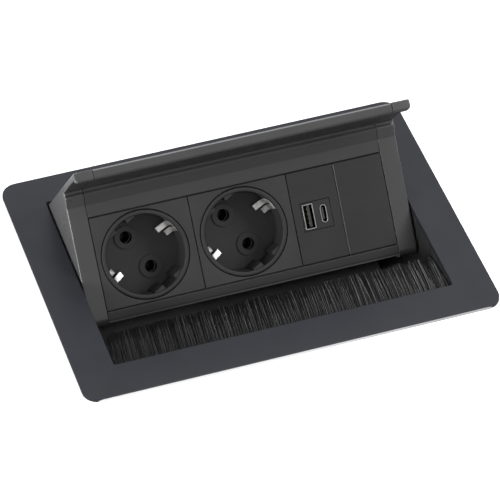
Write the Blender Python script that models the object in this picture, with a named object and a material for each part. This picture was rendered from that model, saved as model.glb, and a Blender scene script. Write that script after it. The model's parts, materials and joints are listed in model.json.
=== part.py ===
"""In-desk power module.

A flat frame plate lies on the desk, a folded sheet tub hangs below its opening, and an L-shaped
housing with two earthed sockets, a USB charger insert and a blank insert tilts up out of it on two
pivot screws. A brush strip closes the cable gap along the front of the opening.

Metres, +Z up, +Y to the rear. The origin is the middle of the foot print, at the lowest face. The
housing is drawn closed, about its pivot, and turned up to its open stop by its parent empty.
"""
import math

import bmesh
import bpy
from mathutils import Vector

GAP = 0.0003               # clearance between pieces that seat on, or are cut by, each other
ROUND_STEPS = 4            # segments in a rounded corner

# Inserts, in a row between two end caps: the housing, the opening and the plate get their length from them
RECESS_R = 0.01955
CUP_WALL = 0.00215
CUP_R = RECESS_R + CUP_WALL
SOCKET_SIDE = 0.003225     # least width of a socket plate beside its cup
SOCKET_W = 2 * (CUP_R + SOCKET_SIDE)
USB_W = 0.0242
BLANK_W = 0.0248
CAP_W = 0.00935
SIDE_GAP = 0.0010          # each side of the housing, in the opening

# Frame plate
SIDE_BORDER = 0.01895
FRONT_BORDER = 0.01915
REAR_BORDER = 0.01775
OPENING_D = 0.1160
PLATE_T = 0.0020
PLATE_CORNER = 0.0080
PLATE_EDGE = 0.0004        # broken edge round the plate
OPENING_CORNER = 0.0012
REST_W = 0.0055            # outer strip of the underside that lies on the desk
REST_STEP = 0.0002         # how far that strip stands below the rest of the underside
MODULE_DEPTH = 0.0800      # from the plate's face to the foot of the tub

# Sheet-metal tub: two side cheeks and a wrap folded round the front, floor and rear
CHEEK_T = 0.0015
CHEEK_FLANGE = 0.0093
CHEEK_FOOT = 0.0102
WRAP_T = 0.0012
WRAP_SHELF = 0.0069        # shelf under the brush holder
WRAP_FRONT_SET = 0.0096    # walls' distance behind the opening's front and rear edges
WRAP_REAR_SET = 0.0054
BEND_R = 0.0016

# Cable outlet in the tub's rear wall
OUTLET_W = 0.0600
OUTLET_H = 0.0180
OUTLET_X = -0.0300
OUTLET_DROP = 0.0640
OUTLET_CORNER = 0.0040

# Pivot, and the stop pin that runs in an arc slot of each cheek
PIVOT_SET = 0.0079         # in front of the opening's rear edge
PIVOT_DROP = 0.0120        # below the plate's face, and the same below the lid's face
OPEN_ANGLE = math.radians(52.5)
PIVOT_R = 0.0025
PIVOT_BORE = 0.0070
BUSH_WALL = 0.0012
BUSH_FLANGE_R = 0.0055
BUSH_FLANGE_T = 0.0004
WASHER_T = 0.0006
HEAD_R = 0.0048
HEAD_H = 0.0026
STOP_ARM = 0.0300
STOP_ANGLE = math.radians(225.0)
STOP_R = 0.0020
STOP_BORE = 0.0050
STOP_HEAD = 0.0012

# Housing, closed, measured from the pivot
LID_T = 0.0030
LID_REACH = 0.0879
LIP_H = 0.0052
LIP_T = 0.0032
LIP_EDGE_R = 0.0012
LIP_CORNER_R = 0.0026
NOSE_END = math.radians(-10.0)
PANEL_LEAN = math.radians(13.75)
PANEL_Y = -0.0420
PANEL_Z = -0.0272
WINDOW_H = 2 * (CUP_R + 0.0017)
RAIL_TOP = 0.0060
RAIL_LEAN = 0.0010         # how far the lower rail's foot stands back
BEAD_UP = 0.0116           # the bead's crest, above the window's upper edge
BEAD_PROUD = 0.0021
BEAD_R = 0.0018
COVE_R = 0.0011            # between the bead and the lid
HOOK_H = 0.0031
HOOK_T = 0.0020
WALL_T = 0.0024
CHANNEL_D = 0.0410
CAP_FOOT = 0.0066
CAP_FOOT_R = 0.0040
CAP_HEEL_R = 0.0060
CAP_EDGE = 0.0008          # rounding of the caps' outer edges
LUG_DEPTH = 0.0050

# How the inserts sit
INSERT_SINK = 0.00015
INSERT_EDGE = 0.0003
INSERT_SLIT = 0.0006       # slit above and below the inserts
INSERT_JOINT = 0.00018     # half the joint between two inserts
FLANGE_T = 0.0025
INSERT_SKIN = 0.0016

# Earthed socket
RING_SHIFT = -0.0007
CUP_SLIT = 0.00030
RECESS_DEPTH = 0.0175
CUP_FLOOR = 0.0025
PIN_PITCH = 0.0190
PIN_HOLE_R = 0.00305
PIN_LINE = math.radians(-60.0)
COLLAR_R = 0.0057
COLLAR_H = 0.0008
RIB_CHORD = 0.0171
RIB_W = 0.0052
RIB_SLOT = 0.0070
RIB_TOP = 0.0014
EARTH_W = 0.0070
EARTH_SPLIT = 0.0012
EARTH_T = 0.0008
EARTH_SLOT_TOP = 0.0032
BASE_CLEAR = 0.00485       # how much narrower than its insert a contact base is
BASE_D = 0.0140
SLEEVE_R = 0.0038
SLEEVE_BORE = 0.00235
SLEEVE_MOUTH = 0.00315
SLEEVE_L = 0.0095
SLEEVE_SINK = 0.0030       # behind the base's front

# USB charger insert
PORT_FACE_W = 0.0148
PORT_FACE_H = 0.0138
PORT_FACE_X = -0.0004      # from the insert's middle
PORT_SLIT = 0.00025
PORT_DEPTH = 0.0120
USB_A_X = -0.0044
USB_A_W = 0.0054
USB_A_H = 0.0124
USB_A_WALL = 0.0004
USB_C_X = 0.0032
USB_C_W = 0.0032
USB_C_H = 0.0090
USB_C_WALL = 0.00035
USB_A_TONGUE_X = (0.0002, 0.0016)
USB_A_TONGUE_SINK = 0.0025
USB_C_TONGUE_T = 0.0007
USB_C_TONGUE_SINK = 0.0014
CHARGER_D = 0.0260

# Busbars, terminal block and cable gland behind the inserts
BAR_PITCH = 0.0140
BAR_W = 0.0050
BAR_T = 0.0008
TERMINAL_W = 0.0190
TERMINAL_H = 0.0380
TERMINAL_D = 0.0095
TERMINAL_BORE_R = 0.0022
GLAND_R = 0.0065
GLAND_BORE = 0.0036
GLAND_N = -0.0330

# Brush strip
BRUSH_SET = 0.0013         # the holder's mouth, behind the opening's front edge
BRUSH_D = 0.0064
BRUSH_H = 0.0044
BRUSH_WALL = 0.0010
BRISTLE_L = 0.0276         # from the mouth to the tips
BRISTLE_T = 0.0024
BRISTLE_DROOP = 0.0024
BRISTLE_PITCH = 0.0012
BRISTLE_RAGGED = 0.0013

# Fasteners and clips
STUD_R = 0.0015
STUD_Y = 0.0400
STUD_L = 0.0060
NUT_FLATS = 0.0055
NUT_T = 0.0024
CLIP_W = 0.0120
CLIP_T = 0.0006
CLIP_Y = 0.0260
CLIP_REACH = 0.0095
CLIP_FOOT_DROP = 0.0620
CLIP_KNEE_DROP = 0.0500
CLIP_TIP_DROP = 0.0240
CLIP_END_DROP = 0.0185
RIVET_DROP = 0.0560
RIVET_R = 0.0015

# Derived places
WINDOW_RIGHT = (2 * SOCKET_W + USB_W + BLANK_W) / 2
WINDOW_LEFT = -WINDOW_RIGHT
HOUSING_HALF = WINDOW_RIGHT + CAP_W
CHEEK_IN = HOUSING_HALF + SIDE_GAP
CHEEK_OUT = CHEEK_IN + CHEEK_T
OPENING_W = 2 * CHEEK_IN
PLATE_W = OPENING_W + 2 * SIDE_BORDER
PLATE_D = FRONT_BORDER + OPENING_D + REAR_BORDER
OPENING_FRONT = FRONT_BORDER - PLATE_D / 2
OPENING_REAR = PLATE_D / 2 - REAR_BORDER
PLATE_TOP = MODULE_DEPTH
PLATE_UNDER = PLATE_TOP - PLATE_T
CHEEK_TOP = PLATE_UNDER - GAP
WRAP_FRONT_Y = OPENING_FRONT - WRAP_FRONT_SET
WRAP_REAR_Y = OPENING_REAR + WRAP_REAR_SET
PIVOT_Y = OPENING_REAR - PIVOT_SET
PIVOT_Z = PLATE_TOP - PIVOT_DROP
LID_TOP = PIVOT_DROP
LID_UNDER = PIVOT_DROP - LID_T
HALF_WINDOW = WINDOW_H / 2
CHANNEL_HALF = HALF_WINDOW + HOOK_H
BACK_N = -(CHANNEL_D + WALL_T)
BASE_W = SOCKET_W - BASE_CLEAR
BASE_FRONT = -(RECESS_DEPTH + CUP_FLOOR + GAP)
BASE_BACK = BASE_FRONT - BASE_D
TERMINAL_X = WINDOW_RIGHT - BLANK_W / 2
BRUSH_HALF = CHEEK_IN - GAP
BRUSH_TOP = CHEEK_TOP
BRUSH_MOUTH_Y = OPENING_FRONT - BRUSH_SET
BRISTLE_HALF = BRUSH_HALF - GAP
BRISTLE_TIP_Y = BRUSH_MOUTH_Y + BRISTLE_L


def clear_scene():
    for item in list(bpy.data.objects):
        bpy.data.objects.remove(item, do_unlink=True)


def look(name, colour, roughness, metallic=0.0):
    """A Principled material."""
    material = bpy.data.materials.new(name)
    material.use_nodes = True
    shader = material.node_tree.nodes["Principled BSDF"]
    shader.inputs["Base Color"].default_value = (*colour, 1.0)
    shader.inputs["Roughness"].default_value = roughness
    shader.inputs["Metallic"].default_value = metallic
    material.diffuse_color = (*colour, 1.0)
    return material


def empty(name, location, turn=0.0, axis="X", parent=None):
    """A frame for the pieces that are placed from it."""
    frame = bpy.data.objects.new(name, None)
    bpy.context.scene.collection.objects.link(frame)
    frame.location = location
    frame.rotation_euler["XYZ".index(axis)] = turn
    frame.parent = parent
    return frame


def finish_solid(name, mesh_data, material, parent, smooth=True):
    """Turns a bmesh into a named object with outward faces."""
    bmesh.ops.recalc_face_normals(mesh_data, faces=mesh_data.faces)
    mesh = bpy.data.meshes.new(name)
    mesh_data.to_mesh(mesh)
    mesh_data.free()
    if smooth:
        mesh.shade_smooth()
        mesh.set_sharp_from_angle(angle=math.radians(35))
    solid = bpy.data.objects.new(name, mesh)
    bpy.context.scene.collection.objects.link(solid)
    solid.parent = parent
    if material:
        mesh.materials.append(material)
    return solid


def place(axis, along, a, b):
    """A point from its distance along an axis and its two places across it."""
    return {"X": (along, a, b), "Y": (a, along, b), "Z": (a, b, along)}[axis]


def prism(name, outline, low, high, material=None, parent=None, axis="X", holes=()):
    """An outline, with any holes, extruded along one axis."""
    mesh_data = bmesh.new()
    edges = []
    for loop in (outline, *holes):
        corners = [mesh_data.verts.new(place(axis, low, a, b)) for a, b in loop]
        for first, second in zip(corners, corners[1:] + corners[:1]):
            edges.append(mesh_data.edges.new((first, second)))
    filled = bmesh.ops.triangle_fill(mesh_data, use_beauty=True, use_dissolve=False, edges=edges)
    faces = [item for item in filled["geom"] if isinstance(item, bmesh.types.BMFace)]
    raised = bmesh.ops.extrude_face_region(mesh_data, geom=faces)
    moved = [item for item in raised["geom"] if isinstance(item, bmesh.types.BMVert)]
    bmesh.ops.translate(mesh_data, verts=moved, vec=Vector(place(axis, high - low, 0.0, 0.0)))
    return finish_solid(name, mesh_data, material, parent)


def block(name, x_range, y_range, z_range, material=None, parent=None):
    """A plain rectangular solid."""
    outline = [(y_range[0], z_range[0]), (y_range[1], z_range[0]),
               (y_range[1], z_range[1]), (y_range[0], z_range[1])]
    return prism(name, outline, x_range[0], x_range[1], material, parent)


def stitch(mesh_data, first, second):
    """Faces between two rows of vertices, either of which may be a single pole."""
    count = max(len(first), len(second))
    for k in range(count):
        after = (k + 1) % count
        corners = [first[k % len(first)], first[after % len(first)],
                   second[after % len(second)], second[k % len(second)]]
        distinct = [vert for n, vert in enumerate(corners) if vert not in corners[:n]]
        mesh_data.faces.new(distinct)


def lathe(name, profile, material=None, parent=None, axis="Z", at=(0.0, 0.0), segments=24, ring=False):
    """A (radius, height) profile turned about a line parallel to an axis."""
    mesh_data = bmesh.new()
    rows = []
    for radius, height in profile:
        if radius == 0:
            rows.append([mesh_data.verts.new(place(axis, height, at[0], at[1]))])
            continue
        turns = [math.tau * k / segments for k in range(segments)]
        rows.append([mesh_data.verts.new(place(axis, height, at[0] + radius * math.cos(turn),
                                               at[1] + radius * math.sin(turn))) for turn in turns])
    for first, second in zip(rows, rows[1:] + (rows[:1] if ring else [])):
        stitch(mesh_data, first, second)
    return finish_solid(name, mesh_data, material, parent)


def rod(name, radius, low, high, material=None, parent=None, axis="Z", at=(0.0, 0.0), segments=20):
    """A plain cylinder."""
    profile = [(0, low), (radius, low), (radius, high), (0, high)]
    return lathe(name, profile, material, parent, axis, at, segments)


def loft(name, loops, material=None, parent=None, ring=True):
    """Loops of equal count joined in order, back to the first or capped at both ends."""
    mesh_data = bmesh.new()
    rows = [[mesh_data.verts.new(point) for point in loop] for loop in loops]
    for first, second in zip(rows, rows[1:] + (rows[:1] if ring else [])):
        stitch(mesh_data, first, second)
    if not ring:
        mesh_data.faces.new(rows[0])
        mesh_data.faces.new(rows[-1])
    return finish_solid(name, mesh_data, material, parent)


def rounded_rectangle(width, height, radius, steps=ROUND_STEPS, centre=(0.0, 0.0)):
    """A rectangle's outline with round corners, anticlockwise."""
    points = []
    for k, (a, b) in enumerate(((1, 1), (-1, 1), (-1, -1), (1, -1))):
        middle = (centre[0] + a * (width / 2 - radius), centre[1] + b * (height / 2 - radius))
        for step in range(steps + 1):
            turn = math.pi / 2 * (k + step / steps)
            points.append((middle[0] + radius * math.cos(turn), middle[1] + radius * math.sin(turn)))
    return points


def square_loop(width, height, count, level, shift=0.0):
    """A rectangle as many points as a circle has, starting at its lower right corner."""
    corners = [Vector((1, -1)), Vector((1, 1)), Vector((-1, 1)), Vector((-1, -1))]
    side = count // 4
    points = []
    for k in range(count):
        start, end = corners[k // side], corners[(k // side + 1) % 4]
        spot = start.lerp(end, (k % side) / side)
        points.append((shift + spot.x * width / 2, spot.y * height / 2, level))
    return points


def circle_loop(radius, count, level, shift=0.0):
    """A circle whose first point faces a rectangle's lower right corner."""
    turns = [math.tau * (k / count - 1 / 8) for k in range(count)]
    return [(shift + radius * math.cos(turn), radius * math.sin(turn), level) for turn in turns]


def arc(centre, radius, start, end, steps):
    """Points on an arc, both ends included."""
    return [(centre[0] + radius * math.cos(start + (end - start) * k / steps),
             centre[1] + radius * math.sin(start + (end - start) * k / steps)) for k in range(steps + 1)]


def rounded(corners, steps=ROUND_STEPS):
    """An outline from (a, b, radius) corners, each one rounded by its own radius."""
    points = []
    for k, (a, b, radius) in enumerate(corners):
        here = Vector((a, b))
        if radius == 0:
            points.append((a, b))
            continue
        before = (Vector(corners[k - 1][:2]) - here).normalized()
        after = (Vector(corners[(k + 1) % len(corners)][:2]) - here).normalized()
        half = before.angle(after) / 2
        reach = radius / math.tan(half)
        middle = here + (before + after).normalized() * (radius / math.sin(half))
        first = (here + before * reach - middle)
        last = (here + after * reach - middle)
        swing = math.atan2(first.x * last.y - first.y * last.x, first.dot(last))
        start = math.atan2(first.y, first.x)
        points += arc(middle, radius, start, start + swing, steps)
    return points


def strip(path, thickness):
    """The outline of a bent strip of even thickness, from its middle line."""
    points = [Vector(point) for point in path]
    sides = ([], [])
    for k, point in enumerate(points):
        back = (point - points[k - 1]).normalized() if k else (points[1] - point).normalized()
        ahead = (points[k + 1] - point).normalized() if k < len(points) - 1 else back
        normal = Vector((-(back + ahead).y, (back + ahead).x)).normalized()
        reach = thickness / 2 / normal.dot(Vector((-back.y, back.x)))
        sides[0].append(tuple(point + normal * reach))
        sides[1].append(tuple(point - normal * reach))
    return sides[0] + sides[1][::-1]


def fold(corners, radius=BEND_R, steps=3):
    """The middle line of a folded sheet, with a bend at each inner corner."""
    line = [corners[0]]
    for before, here, after in zip(corners, corners[1:], corners[2:]):
        line += rounded([(*before, 0), (*here, radius), (*after, 0)], steps)[1:-1]
    return line + [corners[-1]]


def inset(corners, distance):
    """Corners of the outline that runs a distance inside an anticlockwise or clockwise one."""
    area = sum(a[0] * b[1] - b[0] * a[1] for a, b in zip(corners, corners[1:] + corners[:1]))
    sign = 1 if area > 0 else -1
    moved = []
    for k, (a, b, radius) in enumerate(corners):
        here = Vector((a, b))
        back = (here - Vector(corners[k - 1][:2])).normalized()
        ahead = (Vector(corners[(k + 1) % len(corners)][:2]) - here).normalized()
        normals = [Vector((-way.y, way.x)) * sign for way in (back, ahead)]
        spot = here + (normals[0] + normals[1]) * (distance / (1 + normals[0].dot(normals[1])))
        hollow = sign * back.cross(ahead) < 0
        eased = radius + distance if hollow else max(radius - distance, GAP / 3)
        moved.append((spot.x, spot.y, eased if radius else 0))
    return moved


def combine(solid, tool, operation):
    """Adds or takes away a tool shape, which itself isn't part of the model."""
    tool.hide_render = True
    tool.display_type = "WIRE"
    step = solid.modifiers.new(tool.name, "BOOLEAN")
    step.operation = operation
    step.solver = "EXACT"
    step.object = tool


def cut(solid, *tools):
    for tool in tools:
        combine(solid, tool, "DIFFERENCE")


def add(solid, *tools):
    for tool in tools:
        combine(solid, tool, "UNION")


def drop(distance):
    """A height given as a distance below the plate's face."""
    return PLATE_TOP - distance


def on_panel(up, out):
    """A place on the closed housing's section, from the panel's own directions."""
    along = Vector((-math.sin(PANEL_LEAN), math.cos(PANEL_LEAN)))
    outward = Vector((-math.cos(PANEL_LEAN), -math.sin(PANEL_LEAN)))
    return tuple(Vector((PANEL_Y, PANEL_Z)) + along * up + outward * out)


def panel_height_at(level, out):
    """How far up the panel's own direction a line at one depth meets a level."""
    return (level - PANEL_Z + out * math.sin(PANEL_LEAN)) / math.cos(PANEL_LEAN)


def make_looks():
    return {
        "powder_coat": look("powder_coat", (0.052, 0.056, 0.068), 0.48, 0.1),
        "sheet_black": look("sheet_black", (0.022, 0.022, 0.024), 0.55, 0.2),
        "anodised": look("anodised", (0.070, 0.070, 0.070), 0.42, 0.6),
        "cap_plastic": look("cap_plastic", (0.075, 0.075, 0.075), 0.5),
        "insert_plastic": look("insert_plastic", (0.048, 0.048, 0.048), 0.5),
        "inner_plastic": look("inner_plastic", (0.60, 0.60, 0.57), 0.6),
        "bush_plastic": look("bush_plastic", (0.70, 0.70, 0.67), 0.5),
        "black_plastic": look("black_plastic", (0.022, 0.022, 0.022), 0.55),
        "bristle": look("bristle", (0.030, 0.030, 0.030), 0.6),
        "zinc": look("zinc", (0.62, 0.63, 0.64), 0.35, 0.9),
        "spring_steel": look("spring_steel", (0.50, 0.50, 0.50), 0.3, 1.0),
        "nickel": look("nickel", (0.80, 0.79, 0.76), 0.22, 1.0),
        "brass": look("brass", (0.78, 0.60, 0.28), 0.3, 1.0),
        "rubber": look("rubber", (0.03, 0.03, 0.03), 0.8),
        "board": look("board", (0.03, 0.16, 0.07), 0.5),
        "ferrite": look("ferrite", (0.10, 0.10, 0.11), 0.6),
    }


def make_plate(looks):
    """The powder-coated frame plate, with weld studs under it."""
    middle = (OPENING_FRONT + OPENING_REAR) / 2

    def outer(margin, level):
        loop = rounded_rectangle(PLATE_W - 2 * margin, PLATE_D - 2 * margin, PLATE_CORNER - margin, 8)
        return [(x, y, level) for x, y in loop]

    def inner(margin, level):
        loop = rounded_rectangle(OPENING_W + 2 * margin, OPENING_D + 2 * margin, OPENING_CORNER + margin, 8,
                                 (0.0, middle))
        return [(x, y, level) for x, y in loop]

    relieved = PLATE_UNDER + REST_STEP
    loops = [outer(REST_W, relieved), outer(REST_W, PLATE_UNDER), outer(0, PLATE_UNDER),
             outer(0, PLATE_TOP - PLATE_EDGE), outer(PLATE_EDGE, PLATE_TOP), inner(PLATE_EDGE / 2, PLATE_TOP),
             inner(0, PLATE_TOP - PLATE_EDGE / 2), inner(0, relieved)]
    plate = loft("frame_plate", loops, looks["powder_coat"])
    for n, (side, y) in enumerate(stud_places()):
        at = (side * stud_x(), y)
        add(plate, rod(f"stud_tool_{n}", STUD_R, PLATE_UNDER - STUD_L, PLATE_UNDER + PLATE_T / 2, at=at,
                       segments=12))
    return plate


def stud_x():
    return CHEEK_OUT + (CHEEK_FLANGE - CHEEK_T) / 2


def stud_places():
    return [(side, y) for side in (-1, 1) for y in (-STUD_Y, STUD_Y)]


def make_nuts(looks):
    """Hexagon nuts that hold the cheeks' flanges to the weld studs."""
    top = CHEEK_TOP - CHEEK_T - GAP
    for n, (side, y) in enumerate(stud_places()):
        corner = NUT_FLATS / math.sqrt(3)
        at = (side * stud_x(), y)
        outer = [(at[0] + corner * math.cos(math.tau * k / 6), at[1] + corner * math.sin(math.tau * k / 6))
                 for k in range(6)]
        hole = [(at[0] + (STUD_R + GAP) * math.cos(math.tau * k / 12),
                 at[1] + (STUD_R + GAP) * math.sin(math.tau * k / 12)) for k in range(12)]
        prism(f"flange_nut_{n + 1}", outer, top - NUT_T, top, looks["zinc"], axis="Z", holes=(hole,))


def slot_outline():
    """The arc slot that the stop pin runs in, with its two ends as the stops."""
    centre = (PIVOT_Y, PIVOT_Z)
    half = STOP_R + GAP
    opened = STOP_ANGLE - OPEN_ANGLE

    def end(turn, start):
        middle = (centre[0] + STOP_ARM * math.cos(turn), centre[1] + STOP_ARM * math.sin(turn))
        return arc(middle, half, start, start + math.pi, 8)

    outer = arc(centre, STOP_ARM + half, opened, STOP_ANGLE, 14)
    inner = arc(centre, STOP_ARM - half, STOP_ANGLE, opened, 14)
    return outer + end(STOP_ANGLE, STOP_ANGLE)[1:-1] + inner + end(opened, opened + math.pi)[1:-1]


def make_cheek(side, looks):
    """A side cheek: flange under the plate, web with the pivot and the arc slot, foot under the floor."""
    name = "cheek_left" if side < 0 else "cheek_right"
    inner, outer = side * CHEEK_IN, side * CHEEK_OUT
    flange = side * (CHEEK_IN + CHEEK_FLANGE)
    foot = side * (CHEEK_OUT - CHEEK_FOOT)
    section = [(inner, CHEEK_TOP), (flange, CHEEK_TOP), (flange, CHEEK_TOP - CHEEK_T),
               (outer, CHEEK_TOP - CHEEK_T), (outer, 0.0), (foot, 0.0), (foot, CHEEK_T), (inner, CHEEK_T)]
    cheek = prism(name, section, WRAP_FRONT_Y - WRAP_T / 2, WRAP_REAR_Y + WRAP_T / 2,
                  looks["sheet_black"], axis="Y")
    reach = sorted((side * (CHEEK_IN - CHEEK_T), side * (CHEEK_OUT + CHEEK_T)))
    cut(cheek, prism(f"{name}_slot_tool", slot_outline(), *reach))
    cut(cheek, rod(f"{name}_pivot_tool", PIVOT_R + GAP + BUSH_WALL + GAP, *reach, axis="X",
                   at=(PIVOT_Y, PIVOT_Z), segments=24))
    for y in (-CLIP_Y, CLIP_Y):
        cut(cheek, rod(f"{name}_rivet_tool", RIVET_R + GAP, *reach, axis="X", at=(y, rivet_z()),
                       segments=12))
    for y in (-STUD_Y, STUD_Y):
        cut(cheek, rod(f"{name}_stud_tool", STUD_R + GAP, CHEEK_TOP - 2 * CHEEK_T, CHEEK_TOP + CHEEK_T,
                       at=(side * stud_x(), y), segments=12))
    return cheek


def make_pivot(side, looks, housing):
    """One pivot: a flanged bush in the cheek, a friction washer and a shoulder screw."""
    tag = "left" if side < 0 else "right"
    at = (PIVOT_Y, PIVOT_Z)
    bore = PIVOT_R + GAP
    barrel = bore + BUSH_WALL
    flange_low = HOUSING_HALF + GAP
    flange_high = flange_low + BUSH_FLANGE_T
    bush_end = CHEEK_OUT + GAP
    profile = [(bore, flange_low), (BUSH_FLANGE_R, flange_low), (BUSH_FLANGE_R, flange_high),
               (barrel, flange_high), (barrel, bush_end), (bore, bush_end)]
    lathe(f"pivot_bush_{tag}", [(r, side * x) for r, x in profile], looks["bush_plastic"], axis="X",
          at=at, ring=True)
    washer = bush_end + GAP
    ring = [(bore, washer), (HEAD_R, washer), (HEAD_R, washer + WASHER_T), (bore, washer + WASHER_T)]
    lathe(f"friction_washer_{tag}", [(r, side * x) for r, x in ring], looks["spring_steel"], axis="X",
          at=at, ring=True)
    head = washer + WASHER_T + GAP
    shank_end = HOUSING_HALF - PIVOT_BORE + GAP
    socket_r = HEAD_R / 2
    shank = [(0, shank_end), (PIVOT_R, shank_end), (PIVOT_R, head), (HEAD_R, head),
             (HEAD_R, head + HEAD_H - PLATE_EDGE), (HEAD_R - PLATE_EDGE, head + HEAD_H),
             (socket_r, head + HEAD_H), (socket_r, head + HEAD_H / 2), (0, head + HEAD_H / 2)]
    lathe(f"pivot_screw_{tag}", [(r, side * x) for r, x in shank], looks["zinc"], housing, axis="X",
          segments=18)


def make_stop_pin(side, looks, housing):
    """The pin in the end cap that runs in the cheek's arc slot."""
    tag = "left" if side < 0 else "right"
    at = (STOP_ARM * math.cos(STOP_ANGLE), STOP_ARM * math.sin(STOP_ANGLE))
    inner = HOUSING_HALF - STOP_BORE + GAP
    outer = CHEEK_OUT + STOP_HEAD
    profile = [(0, inner), (STOP_R, inner), (STOP_R, outer - PLATE_EDGE), (STOP_R - PLATE_EDGE, outer),
               (0, outer)]
    lathe(f"stop_pin_{tag}", [(r, side * x) for r, x in profile], looks["zinc"], housing, axis="X",
          at=at, segments=16)


def make_wrap(looks):
    """The folded sheet that forms the shelf of the brush holder and the tub's front, floor and rear."""
    level = BRUSH_TOP - BRUSH_H - GAP - WRAP_T / 2
    floor = CHEEK_T + GAP + WRAP_T / 2
    corners = [(WRAP_FRONT_Y + WRAP_SHELF, level), (WRAP_FRONT_Y, level), (WRAP_FRONT_Y, floor),
               (WRAP_REAR_Y, floor), (WRAP_REAR_Y, CHEEK_TOP)]
    half = CHEEK_IN - GAP
    wrap = prism("tub_wrap", strip(fold(corners), WRAP_T), -half, half, looks["sheet_black"])
    window = rounded_rectangle(OUTLET_W, OUTLET_H, OUTLET_CORNER, centre=(OUTLET_X, drop(OUTLET_DROP)))
    cut(wrap, prism("outlet_tool", window, WRAP_REAR_Y - 3 * WRAP_T, WRAP_REAR_Y + 3 * WRAP_T, axis="Y"))
    return wrap


def make_outlet_trim(looks):
    """The edge protector pressed into the cable outlet."""
    lip = 0.0016
    collar = 0.0020
    inside = WRAP_REAR_Y - WRAP_T / 2 - GAP
    outside = WRAP_REAR_Y + WRAP_T / 2 + GAP
    section = [(-lip, inside - lip / 2), (lip, inside - lip / 2), (lip, inside), (-GAP, inside),
               (-GAP, outside), (lip, outside), (lip, outside + lip), (-collar, outside + lip),
               (-collar, inside - lip / 2)]
    loops = []
    for grow, y in section:
        outline = rounded_rectangle(OUTLET_W + 2 * grow, OUTLET_H + 2 * grow, OUTLET_CORNER + grow,
                                    centre=(OUTLET_X, drop(OUTLET_DROP)))
        loops.append([(x, y, z) for x, z in outline])
    loft("outlet_trim", loops[1:], looks["rubber"])


def make_brush(looks):
    """The crimped channel under the plate's front border, and its row of bristles."""
    top, low = BRUSH_TOP, BRUSH_TOP - BRUSH_H
    back, mouth = BRUSH_MOUTH_Y - BRUSH_D, BRUSH_MOUTH_Y
    slot_low = (top + low - BRISTLE_T) / 2 - GAP
    slot_top = (top + low + BRISTLE_T) / 2 + GAP
    section = [(back, top), (mouth, top), (mouth, slot_top), (back + BRUSH_WALL, slot_top),
               (back + BRUSH_WALL, slot_low), (mouth, slot_low), (mouth, low), (back, low)]
    prism("brush_holder", section, -BRUSH_HALF, BRUSH_HALF, looks["anodised"])
    make_bristles(back + BRUSH_WALL + GAP, (top + low) / 2, looks)


def tuft_length(k):
    """How far one tuft falls short of, or passes, the mean length: uneven, but the same each time."""
    wave = math.sin(k * 2.399) + 0.6 * math.sin(k * 0.731 + 1.0) + 0.5 * math.sin(k * 5.13 + 2.0)
    return BRISTLE_RAGGED * wave / 2.1


def make_bristles(root, level, looks):
    """The bristles as one ribbed curtain with a ragged edge, bending down to its tips."""
    count = int(2 * BRISTLE_HALF / BRISTLE_PITCH)
    pitch = 2 * BRISTLE_HALF / count
    groove = BRISTLE_T / 6
    mouth = BRUSH_MOUTH_Y + BRISTLE_T
    rows = []
    for k in range(count + 1):
        x = -BRISTLE_HALF + k * pitch
        tip = BRISTLE_TIP_Y + tuft_length(k)
        middle = (mouth + tip) / 2
        relief = groove if k % 2 else 0.0
        stations = [(root, level, BRISTLE_T / 2, 0.0), (mouth, level, BRISTLE_T / 2, relief / 2),
                    (middle, level - BRISTLE_DROOP / 4, BRISTLE_T / 3, relief),
                    (tip, level - BRISTLE_DROOP, BRISTLE_T / 6, relief / 2)]
        upper = [(x, y, centre + half - dip) for y, centre, half, dip in stations]
        lower = [(x, y, centre - half) for y, centre, half, dip in stations]
        rows.append(upper + lower[::-1])
    loft("bristle_strip", rows, looks["bristle"], ring=False)


def rivet_z():
    return drop(RIVET_DROP)


def make_clips(looks):
    """Leaf springs riveted to the cheeks, which grip the edge of the desk cut-out."""
    near = CHEEK_OUT + GAP + CLIP_T / 2
    low, knee, tip, end = drop(CLIP_FOOT_DROP), drop(CLIP_KNEE_DROP), drop(CLIP_TIP_DROP), drop(CLIP_END_DROP)
    path = [(near, low), (near, knee), (near + CLIP_REACH, tip), (near + CLIP_REACH * 0.7, end)]
    for n, (side, y) in enumerate([(side, y) for side in (-1, 1) for y in (-CLIP_Y, CLIP_Y)]):
        outline = [(side * x, z) for x, z in strip(path, CLIP_T)]
        clip = prism(f"desk_clip_{n + 1}", outline, y - CLIP_W / 2, y + CLIP_W / 2,
                     looks["spring_steel"], axis="Y")
        reach = sorted((side * (near - CLIP_T), side * (near + CLIP_T)))
        cut(clip, rod(f"clip_tool_{n}", RIVET_R + GAP, *reach, axis="X", at=(y, rivet_z()), segments=12))
        inner, outer = CHEEK_IN - GAP, near + CLIP_T / 2 + GAP
        head = 2 * RIVET_R
        profile = [(0, inner - 0.0005), (head, inner - 0.0005), (head, inner), (RIVET_R, inner),
                   (RIVET_R, outer), (head, outer), (head * 0.7, outer + 0.0009), (0, outer + 0.0011)]
        lathe(f"clip_rivet_{n + 1}", [(r, side * x) for r, x in profile], looks["zinc"], axis="X",
              at=(y, rivet_z()), segments=12)


def front_contour(edge_r):
    """The housing's section from the lid's front edge, under the lid and down to the window."""
    edge = -LID_REACH
    corner = panel_height_at(LID_UNDER, GAP)
    return [(edge, LID_TOP, edge_r), (edge, LID_TOP - LIP_H, 0.0014),
            (edge + LIP_T, LID_TOP - LIP_H, 0.0009), (edge + LIP_T, LID_UNDER, 0.0004),
            (*on_panel(corner, GAP), COVE_R), (*on_panel(HALF_WINDOW + BEAD_UP, BEAD_PROUD), BEAD_R),
            (*on_panel(HALF_WINDOW + RAIL_TOP, 0.0), 0.0002)]


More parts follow.
